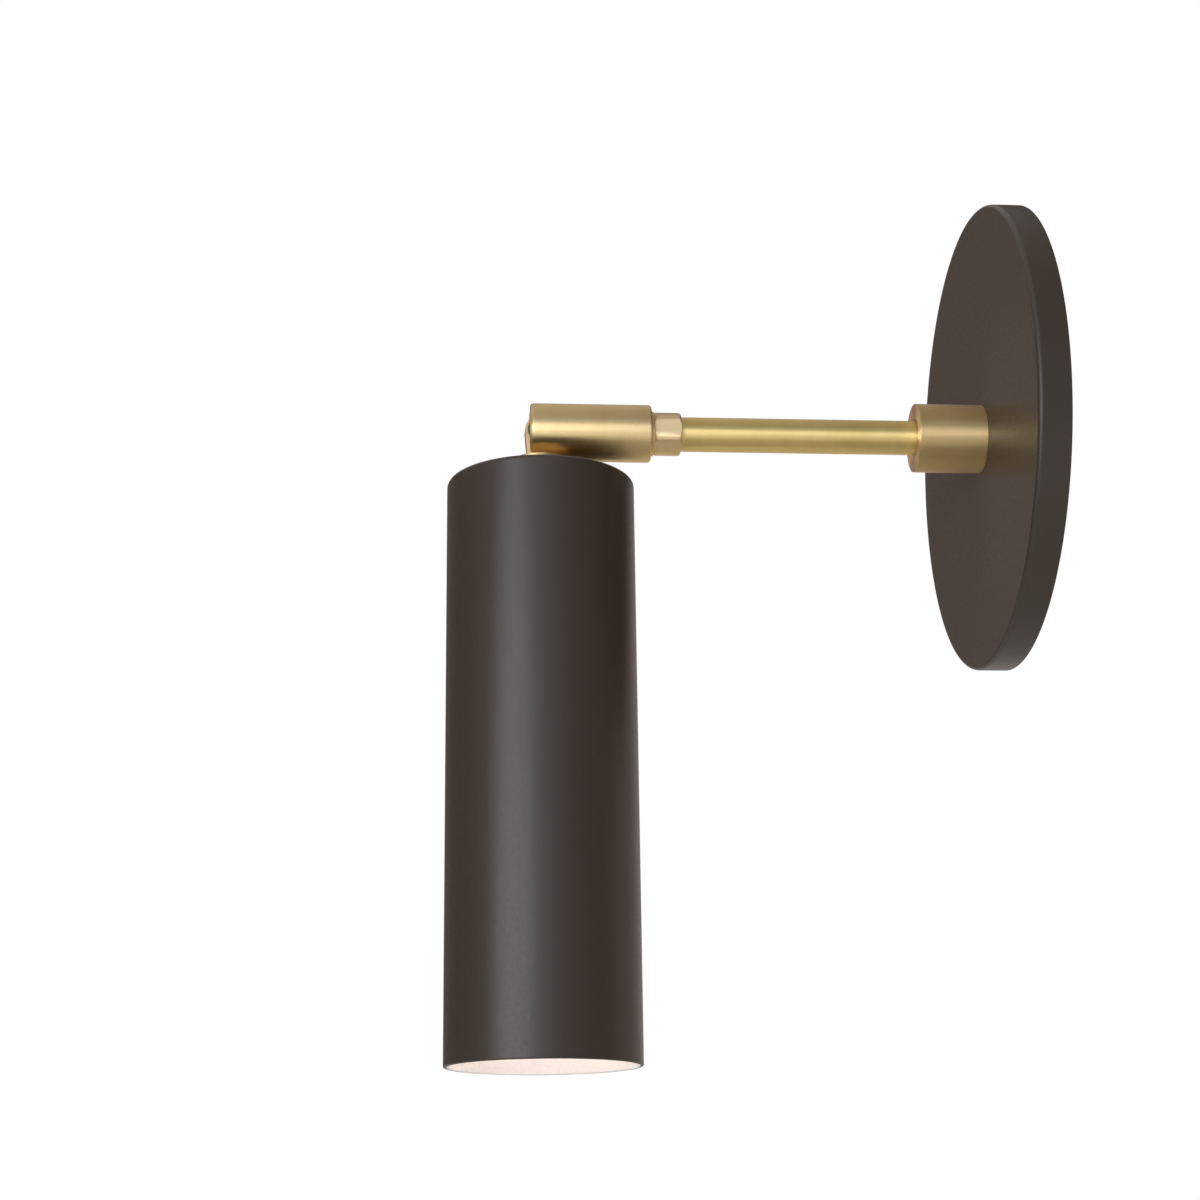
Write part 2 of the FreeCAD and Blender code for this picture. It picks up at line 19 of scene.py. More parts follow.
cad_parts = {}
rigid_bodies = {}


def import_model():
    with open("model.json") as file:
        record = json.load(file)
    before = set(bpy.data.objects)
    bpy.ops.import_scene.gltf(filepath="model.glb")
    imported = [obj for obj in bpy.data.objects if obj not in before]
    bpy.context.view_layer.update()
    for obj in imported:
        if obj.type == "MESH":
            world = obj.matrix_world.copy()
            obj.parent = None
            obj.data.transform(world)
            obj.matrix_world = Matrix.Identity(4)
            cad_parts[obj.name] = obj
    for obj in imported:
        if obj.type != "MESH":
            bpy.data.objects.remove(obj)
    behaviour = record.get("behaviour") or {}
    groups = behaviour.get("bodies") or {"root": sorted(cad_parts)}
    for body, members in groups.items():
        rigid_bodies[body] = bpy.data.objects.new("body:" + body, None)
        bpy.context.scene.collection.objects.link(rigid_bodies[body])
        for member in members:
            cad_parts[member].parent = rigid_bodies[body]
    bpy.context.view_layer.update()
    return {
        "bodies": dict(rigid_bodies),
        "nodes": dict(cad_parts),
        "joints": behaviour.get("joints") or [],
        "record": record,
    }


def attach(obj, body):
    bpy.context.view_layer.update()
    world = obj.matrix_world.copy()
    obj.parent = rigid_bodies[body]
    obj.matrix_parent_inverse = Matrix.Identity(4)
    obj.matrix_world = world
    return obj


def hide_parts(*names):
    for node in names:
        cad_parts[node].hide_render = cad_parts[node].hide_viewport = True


Outline = list[tuple[float, float]]
Colour = tuple[float, float, float]
Point = tuple[float, float, float]
Mesh = bmesh.types.BMesh
Material = bpy.types.Material
Socket = bpy.types.NodeSocket

MM = 0.001
FULL_TURN = 2 * math.pi
QUARTER_TURN = math.pi / 2
SAME_PLACE = 0.002      # mm, points nearer than this are one
FIT = 0.05              # mm, radial, between a part and its hole
OVERRUN = 1.0           # mm, how far a tool passes a face or a part runs into its neighbour
BROKEN_EDGE = 0.15      # mm, a turned edge that is only broken
MILLED_EDGE = 0.12      # mm, a milled edge that is only broken
SHARP_ANGLE = math.radians(38)
ORIGIN: Point = (0.0, 0.0, 0.0)
PIVOT: Point = (0.0, -130.2 * MM, 0.0)
WHITE: Colour = (1.0, 1.0, 1.0)
MOST_NOISE = (0.3, 0.7)     # the range that most of a noise lies in

log = logging.getLogger("wall_spotlight")


class Body(str, Enum):
    """The moving bodies that pieces ride on."""

    WALL = "wall_side"
    KNUCKLE = "knuckle"
    SHADE = "shade_head"


class Axis(Enum):
    """Directions that a grain or a cutting tool follows."""

    X = 0
    Y = 1
    Z = 2

    def spread(self, along: float, across: float) -> Point:
        """A value for each direction, one along this axis and one across it."""
        return tuple(along if index == self.value else across for index in range(3))


@dataclass(frozen=True)
class Rim:
    """A ring edge of a turned piece and the size of its round, in millimetres."""

    radius: float
    height: float
    size: float
    flats: int = 3


def laid(body: Body, distance: float) -> Matrix:
    """Matrix that lays a piece, modelled up its own Z axis, in the lamp.

    Args:
        body: the body that it rides on. The shade's pieces lie down the shade from the pivot,
            the others along the arm away from the wall.
        distance: where the piece's own zero comes, below the pivot or from the wall.

    Returns:
        The matrix from the piece's millimetres to the lamp's metres.
    """
    if body is Body.SHADE:
        turn, start = math.pi, (0.0, PIVOT[1], -distance * MM)
    else:
        turn, start = QUARTER_TURN, (0.0, -distance * MM, 0.0)
    return Matrix.Translation(start) @ Matrix.Rotation(turn, 4, "X") @ Matrix.Scale(MM, 4)


def assign(thing: object, **values: object) -> None:
    """Set several properties of a thing."""
    for key, value in values.items():
        setattr(thing, key, value)


def shift(mesh: Mesh, way: Point) -> None:
    """Move a mesh."""
    bmesh.ops.translate(mesh, verts=mesh.verts[:], vec=way)


def rotate(mesh: Mesh, turn: Matrix) -> None:
    """Turn a mesh about its own zero."""
    bmesh.ops.rotate(mesh, verts=mesh.verts[:], cent=ORIGIN, matrix=turn)


def sleeve(inner: float, outer: float, low: float, high: float) -> Outline:
    """Outline of a plain ring between two radii, or of a rod where the inner one is 0."""
    return [(inner, low), (outer, low), (outer, high), (inner, high)]


def turned(outline: Outline, steps: int, *rims: Rim) -> Mesh:
    """Spin an outline of (radius, height) points into a closed turned piece.

    Args:
        outline: points in order; it closes on itself unless both ends lie on the axis.
        steps: flats round the piece.
        rims: its ring edges that are rounded, in order.

    Returns:
        The mesh in millimetres about the Z axis.
    """
    mesh = bmesh.new()
    corners = [mesh.verts.new((radius, 0.0, height)) for radius, height in outline]
    edges = [mesh.edges.new(pair) for pair in zip(corners, corners[1:])]
    if outline[0][0] > 0 or outline[-1][0] > 0:
        edges.append(mesh.edges.new((corners[-1], corners[0])))
    bmesh.ops.spin(mesh, geom=corners + edges, cent=ORIGIN, axis=(0, 0, 1), dvec=ORIGIN,
                   angle=FULL_TURN, steps=steps, use_merge=True, use_duplicate=False)
    bmesh.ops.remove_doubles(mesh, verts=mesh.verts[:], dist=SAME_PLACE / 2)
    bmesh.ops.recalc_face_normals(mesh, faces=mesh.faces[:])
    for rim in rims:
        ring = []
        for edge in mesh.edges:
            places = [(vert.co.xy.length, vert.co.z) for vert in edge.verts]
            if all(abs(r - rim.radius) < SAME_PLACE and abs(z - rim.height) < SAME_PLACE
                   for r, z in places):
                ring.append(edge)
        bmesh.ops.bevel(mesh, geom=ring, offset=rim.size, segments=rim.flats, profile=0.5,
                        affect="EDGES", material=-1)
    return mesh


def bar(diameter: float, start: float, end: float, axis: Axis = Axis.Z, at: Point = ORIGIN,
        steps: int = 48) -> Mesh:
    """Round bar along X or Z, as a piece or as a drill.

    Args:
        diameter: its diameter.
        start: where it starts along the axis.
        end: where it ends along the axis.
        axis: the axis that it runs along, X or Z.
        at: a point that its centre line passes.
        steps: flats round it.

    Returns:
        The mesh in millimetres.
    """
    mesh = bmesh.new()
    bmesh.ops.create_cone(mesh, cap_ends=True, cap_tris=False, segments=steps,
                          radius1=diameter / 2, radius2=diameter / 2, depth=end - start)
    shift(mesh, (0, 0, (start + end) / 2))
    if axis is Axis.X:
        rotate(mesh, Matrix.Rotation(QUARTER_TURN, 3, "Y"))
    shift(mesh, at)
    return mesh


def block(size: Point, centre: Point) -> Mesh:
    """Rectangular block, as a piece or as a milling cut.

    Args:
        size: its size along X, Y and Z.
        centre: its middle.

    Returns:
        The mesh in millimetres.
    """
    mesh = bmesh.new()
    bmesh.ops.create_cube(mesh, size=1.0)
    bmesh.ops.scale(mesh, verts=mesh.verts[:], vec=size)
    shift(mesh, centre)
    return mesh


def loose_object(name: str, mesh: Mesh) -> bpy.types.Object:
    """Put a mesh, used up here, in the scene as an object.

    Args:
        name: the object's name.
        mesh: its mesh.

    Returns:
        The object.
    """
    data = bpy.data.meshes.new(name)
    mesh.to_mesh(data)
    mesh.free()
    thing = bpy.data.objects.new(name, data)
    bpy.context.scene.collection.objects.link(thing)
    return thing


def machined(body: Mesh, tools: list[Mesh], operation: str = "DIFFERENCE") -> Mesh:
    """Cut tools from a piece, join them to it or keep what they share.

    Args:
        body: the piece, used up here.
        tools: the tools, used up here.
        operation: DIFFERENCE, UNION or INTERSECT.

    Returns:
        The machined piece.
    """
    stock = loose_object("stock", body)
    helpers = []
    for index, tool in enumerate(tools):
        helper = loose_object(f"tool_{index}", tool)
        helpers.append(helper)
        assign(stock.modifiers.new(f"cut_{index}", "BOOLEAN"), object=helper,
               operation=operation, solver="EXACT")
    bpy.context.view_layer.update()
    graph = bpy.context.evaluated_depsgraph_get()
    result = bmesh.new()
    result.from_mesh(stock.evaluated_get(graph).to_mesh())
    for helper in [stock] + helpers:
        spare = helper.data
        bpy.data.objects.remove(helper)
        bpy.data.meshes.remove(spare)
    bmesh.ops.remove_doubles(result, verts=result.verts[:], dist=SAME_PLACE / 4)
    bmesh.ops.recalc_face_normals(result, faces=result.faces[:])
    return result


def merged(parts: list[Mesh]) -> Mesh:
    """Gather several meshes, used up here, in one.

    Args:
        parts: the meshes.

    Returns:
        The mesh of them all.
    """
    whole = bmesh.new()
    for part in parts:
        spare = bpy.data.meshes.new("spare")
        part.to_mesh(spare)
        part.free()
        whole.from_mesh(spare)
        bpy.data.meshes.remove(spare)
    return whole


def dimmed(colour: Colour, share: float) -> Colour:
    """A share of a colour."""
    return tuple(share * value for value in colour)


class NodeTree:
    """Short way to lay and join the nodes of one material or world."""

    def __init__(self, owner: str | bpy.types.World) -> None:
        """Take up the nodes of a new material or of a world.

        Args:
            owner: the new material's name, or the world.
        """
        if isinstance(owner, str):
            owner = bpy.data.materials.new(owner)
        owner.use_nodes = True
        self.owner = owner
        self.nodes = owner.node_tree.nodes
        self.links = owner.node_tree.links
        self.shader = self.nodes.get("Principled BSDF") or self.nodes["Background"]

    def add(self, kind: str, **values: object) -> bpy.types.Node:
        """Add a node.

        Args:
            kind: the node's type without its ShaderNode prefix.
            values: its properties and inputs, as for feed.

        Returns:
            The node.
        """
        node = self.nodes.new("ShaderNode" + kind)
        self.feed(node, **values)
        return node

    def feed(self, node: bpy.types.Node, **values: object) -> None:
        """Give a node its properties and inputs.

        Args:
            node: the node.
            values: properties, and values or sockets for inputs, with _ for a space.
        """
        for key, value in values.items():
            target = node.inputs.get(key.replace("_", " "))
            if target is None:
                setattr(node, key, value)
            elif isinstance(value, Socket):
                self.links.new(value, target)
            else:
                target.default_value = value

    def combine(self, kind: str, *sources: Socket, **values: object) -> Socket:
        """Add a node that works on several sockets.

        Args:
            kind: the node's type without its ShaderNode prefix.
            sources: the sockets for its inputs, in order.
            values: its properties.

        Returns:
            Its first output.
        """
        node = self.add(kind, **values)
        for source, target in zip(sources, node.inputs):
            self.links.new(source, target)
        return node.outputs[0]

    def surface(self, colour: Socket, roughness: Socket | float, normal: Socket,
                **values: object) -> None:
        """Give the shader its colour, roughness, normal and other inputs."""
        self.feed(self.shader, Base_Color=colour, Roughness=roughness, Normal=normal, **values)

    def place(self, scale: Point = (1.0, 1.0, 1.0), origin: Point = ORIGIN) -> Socket:
        """Object coordinates, moved and stretched.

        Args:
            scale: stretch along X, Y and Z.
            origin: the point in metres that becomes the centre.

        Returns:
            The vector socket.
        """
        source = self.add("TexCoord").outputs["Object"]
        moved = self.add("Mapping", Vector=source, Location=dimmed(origin, -1.0))
        return self.add("Mapping", Vector=moved.outputs[0], Scale=scale).outputs[0]

    def noise(self, where: Socket, scale: float, detail: float, roughness: float = 0.5) -> Socket:
        """Noise between 0 and 1, with so many octaves and that weight of the finer ones."""
        node = self.add("TexNoise", Vector=where, Scale=scale, Detail=detail, Roughness=roughness)
        return node.outputs["Fac"]

    def between(self, value: Socket, low: float, high: float,
                source: tuple[float, float] = (0.0, 1.0)) -> Socket:
        """Carry a value from its source range to the one from low to high."""
        node = self.add("MapRange", Value=value, From_Min=source[0], From_Max=source[1],
                        To_Min=low, To_Max=high)
        return node.outputs["Result"]

    def about(self, value: Socket, middle: float, below: float, above: float) -> Socket:
        """Let a noise carry a value from so much below a middle to so much above it."""
        return self.between(value, middle - below, middle + above, MOST_NOISE)

    def tint(self, value: Socket, first: Colour, second: Colour) -> Socket:
        """Blend two colours by a value.

        Args:
            value: the share of the second colour.
            first: the colour at 0.
            second: the colour at 1.

        Returns:
            The colour socket.
        """
        node = self.add("Mix", data_type="RGBA")
        node.inputs[6].default_value = (*first, 1.0)
        node.inputs[7].default_value = (*second, 1.0)
        self.links.new(value, node.inputs[0])
        return node.outputs[2]

    def bump(self, height: Socket, strength: float, distance: float,
             under: Socket | None = None) -> Socket:
        """Bump from a height.

        Args:
            height: the height socket.
            strength: share of the bump that is used.
            distance: height of the bump in metres.
            under: the normal of a bump below this one.

        Returns:
            The normal socket.
        """
        node = self.add("Bump", Strength=strength, Distance=distance, Height=height)
        if under is not None:
            self.feed(node, Normal=under)
        return node.outputs["Normal"]

    def seen_directly(self) -> Socket:
        """Value that tells a look from light, for the world and the floor only.

        Returns:
            The socket that is 1 for what the camera sees, in reflections and through glass too.
        """
        ways = self.add("LightPath")
        seen = ways.outputs["Is Camera Ray"]
        for name in ("Is Glossy Ray", "Is Transmission Ray"):
            seen = self.combine("Math", seen, ways.outputs[name], operation="MAXIMUM")
        return seen


@dataclass(frozen=True)
class PaintFinish:
    """Sprayed satin paint with a fine peel."""

    name: str
    colour: Colour
    lighter: Colour
    roughness: float
    gloss: float
    uneven: float = 0.05
    cloud_scale: float = 28.0
    dust_scale: float = 2600.0
    peel_size: float = 0.0007
    peel_height: float = 0.00001

    def material(self) -> Material:
        """The paint's material."""
        tree = NodeTree(self.name)
        where = tree.place()
        clouds = tree.noise(where, self.cloud_scale, 4.0)
        grain = tree.noise(where, 1.0 / self.peel_size, 2.0)
        dust = tree.noise(where, self.dust_scale, 1.0)
        peel = tree.bump(grain, 0.6, self.peel_height)
        tree.surface(tree.tint(clouds, self.colour, self.lighter),
                     tree.about(grain, self.roughness, self.uneven, self.uneven),
                     tree.bump(dust, 0.4, self.peel_height / 2, peel),
                     Specular_IOR_Level=self.gloss)
        return tree.owner


@dataclass(frozen=True)
class TurnedMetalFinish:
    """Bare metal with the fine ring marks of a lathe about one axis."""

    name: str
    colour: Colour
    worn: Colour
    roughness: float
    axis: Axis
    ring_pitch: float = 0.0003
    centre: Point = ORIGIN
    ring_height: float = 0.00001
    ring_scale: float = 12.0
    ring_uneven: float = 0.05
    band_scale: float = 4.0
    band_share: float = 0.12
    band_uneven: float = 0.03
    stain_scale: float = 90.0
    brushing: float = 0.92
    tangent_spread: float = 5.0

    def material(self) -> Material:
        """The metal's material."""
        tree = NodeTree(self.name)
        pitch = self.ring_pitch
        rings = tree.noise(self._stretched(tree, 1.0 / pitch, self.ring_scale), 1.0, 4.0, 0.65)
        bands = tree.noise(self._stretched(tree, self.band_share / pitch, self.band_scale),
                           1.0, 2.0)
        stains = tree.noise(tree.place(), self.stain_scale, 5.0, 0.6)
        stains = tree.between(stains, 0.0, 1.0, (0.35, 0.75))
        fine = tree.about(rings, 0.0, self.ring_uneven, self.ring_uneven)
        broad = tree.about(bands, self.roughness, self.band_uneven, self.band_uneven)
        grooves = tree.bump(rings, 1.0, self.ring_height)
        tree.surface(tree.tint(stains, self.colour, self.worn),
                     tree.combine("Math", fine, broad, operation="ADD"),
                     tree.bump(bands, 1.0, self.ring_height, grooves),
                     Tangent=self._across_marks(tree), Anisotropic=self.brushing, Metallic=1.0)
        return tree.owner

    def _stretched(self, tree: NodeTree, along: float, across: float) -> Socket:
        """Coordinates about the finish's centre, stretched along its axis and across it."""
        return tree.place(self.axis.spread(along, across), self.centre)

    def _across_marks(self, tree: NodeTree) -> Socket:
        """Direction across the marks: along the axis on the round, outwards on an end face."""
        outwards = self._stretched(tree, 0.0, self.tangent_spread)
        return tree.add("Mapping", Vector=outwards, Location=self.axis.spread(1.0, 0.0)).outputs[0]


@dataclass(frozen=True)
class SawnMetalFinish:
    """Bare metal with a fine uneven skin, as on a tumbled or sawn face."""

    name: str
    colour: Colour
    worn: Colour
    roughness: float
    grain_size: float = 0.0006
    grain_height: float = 0.000012
    smoother: float = 0.08
    rougher: float = 0.1
    stain_scale: float = 160.0

    def material(self) -> Material:
        """The metal's material."""
        tree = NodeTree(self.name)
        where = tree.place()
        grain = tree.noise(where, 1.0 / self.grain_size, 3.0, 0.6)
        stains = tree.between(tree.noise(where, self.stain_scale, 4.0, 0.6), 0.0, 1.0, (0.35, 0.7))
        tree.surface(tree.tint(stains, self.colour, self.worn),
                     tree.about(grain, self.roughness, self.smoother, self.rougher),
                     tree.bump(grain, 1.0, self.grain_height), Metallic=1.0)
        return tree.owner


@dataclass(frozen=True)
class ThreadedSteelFinish:
    """Zinc plated steel with a fine thread along one axis, its roots painted darker as painted
    shade.
    """

    name: str
    colour: Colour
    axis: Axis
    pitch: float = 0.00094
    thread_height: float = 0.0004
    # share of the colour left in the thread's roots: painted shade in the grooves
    painted_root_shade: float = 0.35
    spot_scale: float = 420.0
    smoothest: float = 0.28
    roughest: float = 0.5

    def material(self) -> Material:
        """The threaded steel's material."""
        tree = NodeTree(self.name)
        wave = tree.add("TexWave", wave_type="BANDS", wave_profile="TRI",
                        bands_direction=self.axis.name, Scale=1.0,
                        Vector=tree.place(self.axis.spread(0.5 / self.pitch, 0.0)))
        thread = wave.outputs["Fac"]
        spots = tree.noise(tree.place(), self.spot_scale, 3.0)
        # the colour darkens towards the thread's roots: painted shade where the bump-only grooves
        # would be in shade
        tree.surface(tree.tint(thread, dimmed(self.colour, self.painted_root_shade), self.colour),
                     tree.between(spots, self.smoothest, self.roughest, MOST_NOISE),
                     tree.bump(thread, 1.0, self.thread_height), Metallic=1.0)
        return tree.owner


@dataclass(frozen=True)
class GlazeFinish:
    """Glazed ceramic or moulded plastic with a soft gloss."""

    name: str
    colour: Colour
    lighter: Colour
    roughness: float
    wave_size: float = 0.004
    wave_height: float = 0.00003
    coat: float = 0.0
    coat_roughness: float = 0.12
    smoother: float = 0.04
    rougher: float = 0.08
    speck_scale: float = 900.0

    def material(self) -> Material:
        """The glaze's material."""
        tree = NodeTree(self.name)
        where = tree.place()
        waves = tree.noise(where, 1.0 / self.wave_size, 3.0)
        specks = tree.between(tree.noise(where, self.speck_scale, 2.0), 0.0, 1.0, (0.35, 0.65))
        tree.surface(tree.tint(specks, self.colour, self.lighter),
                     tree.about(waves, self.roughness, self.smoother, self.rougher),
                     tree.bump(waves, 0.7, self.wave_height), Coat_Weight=self.coat,
                     Coat_Roughness=self.coat_roughness)
        return tree.owner


@dataclass(frozen=True)
class LitLensFinish:
    """Frosted lens with a bright middle, a moulded grid of small lenslets and a plain rim."""

    name: str
    colour: Colour
    glow: Colour
    strength: float
    radius: float
    centre: Point
    roughness: float = 0.3
    edge_power: float = 0.25
    rim_power: float = 0.04
    joint_power: float = 0.02
    joint_shade: float = 0.75
    lenslet: float = 0.0026
    lenslet_height: float = 0.0003

    def material(self) -> Material:
        """The lens's material."""
        tree = NodeTree(self.name)
        flat = tree.place((1.0, 1.0, 0.0), self.centre)
        cells = tree.add("TexVoronoi", voronoi_dimensions="2D", feature="DISTANCE_TO_EDGE",
                         Scale=1.0 / self.lenslet, Randomness=0.15, Vector=flat)
        distance = cells.outputs["Distance"]
        reach = tree.add("VectorMath", operation="LENGTH", Vector=flat).outputs["Value"]
        power = tree.between(reach, self.strength, self.edge_power * self.strength,
                             (0.0, self.radius))
        rim = tree.between(reach, 1.0, self.rim_power, (0.9 * self.radius, 0.94 * self.radius))
        joints = tree.between(distance, self.joint_power, 1.0, (0.09, 0.17))
        for share in (rim, joints):
            power = tree.combine("Math", power, share, operation="MULTIPLY")
        joint_colour = dimmed(self.colour, self.joint_shade)
        tree.surface(tree.tint(joints, joint_colour, self.colour), self.roughness,
                     tree.bump(distance, 0.8, self.lenslet_height), Emission_Strength=power,
                     Emission_Color=(*self.glow, 1.0))
        return tree.owner


BRASS, WORN_BRASS = (0.80, 0.60, 0.31), (0.74, 0.53, 0.25)
STEEL, WORN_STEEL = (0.55, 0.56, 0.57), (0.45, 0.46, 0.46)
FINISHES = (
    PaintFinish("bronze_paint", (0.0345, 0.0246, 0.0172), (0.0385, 0.0276, 0.0196), 0.36, 0.35),
    PaintFinish("shade_white", (0.80, 0.77, 0.75), (0.84, 0.81, 0.79), 0.3, 0.5),
    TurnedMetalFinish("turned_brass", BRASS, WORN_BRASS, 0.436, Axis.Y),
    # darker copy of the brass for the collar's round: painted shade standing in for the dark
    # plate's reflection
    TurnedMetalFinish("painted_shade_brass", (0.68, 0.49, 0.235), (0.60, 0.42, 0.19), 0.41, Axis.Y),
    # lighter copy of the brass for the hexagon and the collar's front face: a painted highlight
    TurnedMetalFinish("painted_highlight_brass", (0.95, 0.72, 0.41), (0.89, 0.65, 0.35), 0.436, Axis.Y),
    TurnedMetalFinish("hub_brass", BRASS, WORN_BRASS, 0.436, Axis.Z, centre=PIVOT),
    TurnedMetalFinish("drawn_brass", (0.80, 0.61, 0.25), (0.74, 0.54, 0.20), 0.40, Axis.Y, 0.0016),
    SawnMetalFinish("sawn_brass", (0.74, 0.56, 0.33), (0.52, 0.37, 0.20), 0.34),
    SawnMetalFinish("zinc_steel", STEEL, WORN_STEEL, 0.36, 0.0012, 0.000006),
    ThreadedSteelFinish("zinc_thread_y", STEEL, Axis.Y),
    ThreadedSteelFinish("zinc_thread_z", STEEL, Axis.Z),
    SawnMetalFinish("earth_green", (0.05, 0.22, 0.07), (0.04, 0.16, 0.05), 0.4, 0.0008, 0.000006),
    GlazeFinish("friction_fibre", (0.014, 0.013, 0.012), (0.03, 0.028, 0.026), 0.6, 0.0006,
                0.00002),
    GlazeFinish("holder_ceramic", (0.74, 0.72, 0.67), (0.79, 0.77, 0.73), 0.16, coat=0.4),
    GlazeFinish("lamp_housing", (0.66, 0.66, 0.64), (0.72, 0.72, 0.70), 0.3, 0.003, 0.00002, 0.2),
    LitLensFinish("lamp_lens", (0.85, 0.82, 0.78), (1.0, 0.815, 0.73), 21.0, 0.0155, PIVOT))


@dataclass
class SubAssembly:
    """Pieces that are made together, ride on one body and are handed over finished."""

    body: ClassVar[Body]
    materials: dict[str, Material]
    nodes: dict[str, bpy.types.Object]

    def hand_over(self, name: str, mesh: Mesh, distance: float, slot: str, stands_for: str,
                  *finishes: str, edge: float = 0.0, within: Matrix | None = None) -> None:
        """Turn a finished mesh into a piece of the lamp.

        Args:
            name: the piece's name.
            mesh: its mesh in millimetres, used up here.
            distance: where its own zero comes, from the wall or below the pivot.
            slot: the record's slot of its finish; not used.
            stands_for: the construction piece that it stands for.
            finishes: its finishes, by the faces' material numbers.
            edge: width in millimetres of a small round on its sharp edges.
            within: how it lies about its own zero, where that isn't up its Z axis.
        """
        where = laid(self.body, distance)
        if within is not None:
            where = where @ within
        bmesh.ops.transform(mesh, matrix=where, verts=mesh.verts[:])
        for face in mesh.faces:
            face.smooth = True
        piece = loose_object(name, mesh)
        for finish in finishes:
            piece.data.materials.append(self.materials[finish])
        piece.data.set_sharp_from_angle(angle=SHARP_ANGLE)
        if edge > 0:
            assign(piece.modifiers.new("edge_break", "BEVEL"), width=edge * MM, segments=2,
                   limit_method="ANGLE", angle_limit=SHARP_ANGLE, harden_normals=True,
                   use_clamp_overlap=True)
        else:
            assign(piece.modifiers.new("even_shading", "WEIGHTED_NORMAL"), keep_sharp=True,
                   weight=100)
        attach(piece, self.body.value)
        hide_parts(stands_for)
        log.info("%s: %d faces, rides on %s", name, len(piece.data.polygons), self.body.value)

    def dress(self, finish: str, *names: str) -> None:
        """Give construction pieces that stay their finish.

        Args:
            finish: their finish.
            names: the pieces' names.
        """
        for name in names:
            piece = self.nodes[name]
            for place in piece.material_slots:
                place.material = self.materials[finish]
            if not piece.material_slots:
                piece.data.materials.append(self.materials[finish])
            log.info("%s: kept, dressed in %s", name, finish)


@dataclass
class WallFixing(SubAssembly):
    """Plate, crossbar and the hardware that holds them, in millimetres from the wall."""

    body = Body.WALL
    plate_diameter: float = 129.0
    plate_depth: float = 8.7
    plate_wall: float = 1.5
    plate_edge: float = 1.3
    hole_diameter: float = 9.625
    seat_diameter: float = 19.15
    seat_depth: float = 7.4

    def build(self) -> None:
        """Make the plate and dress the hidden hardware."""
        self._plate()
        self.dress("zinc_steel", "mounting_bar", "bar_lock_washer", "bar_lock_nut")
        self.dress("zinc_thread_y", "bar_nipple")
        self.dress("earth_green", "ground_screw")

    def _plate(self) -> None:
        """Round pan with a rolled front edge, its face drawn in to a flat seat."""
        radius, hole = self.plate_diameter / 2, self.hole_diameter / 2
        seat, inside = self.seat_diameter / 2, radius - self.plate_wall
        floor = self.plate_depth - self.plate_wall
        seat_floor = self.seat_depth - self.plate_wall
        pan = turned([(inside, 0), (radius, 0), (radius, self.plate_depth),
                      (seat, self.seat_depth), (hole, self.seat_depth), (hole, seat_floor),
                      (seat, seat_floor), (inside, floor)], 256,
                     Rim(radius, self.plate_depth, self.plate_edge, 6),
                     Rim(inside, floor, self.plate_edge / 2, 6),
                     Rim(radius, 0, BROKEN_EDGE, 2), Rim(inside, 0, BROKEN_EDGE, 2))
        self.hand_over("plate_skin", pan, 0, "bronze_paint", "wall_plate", "bronze_paint")


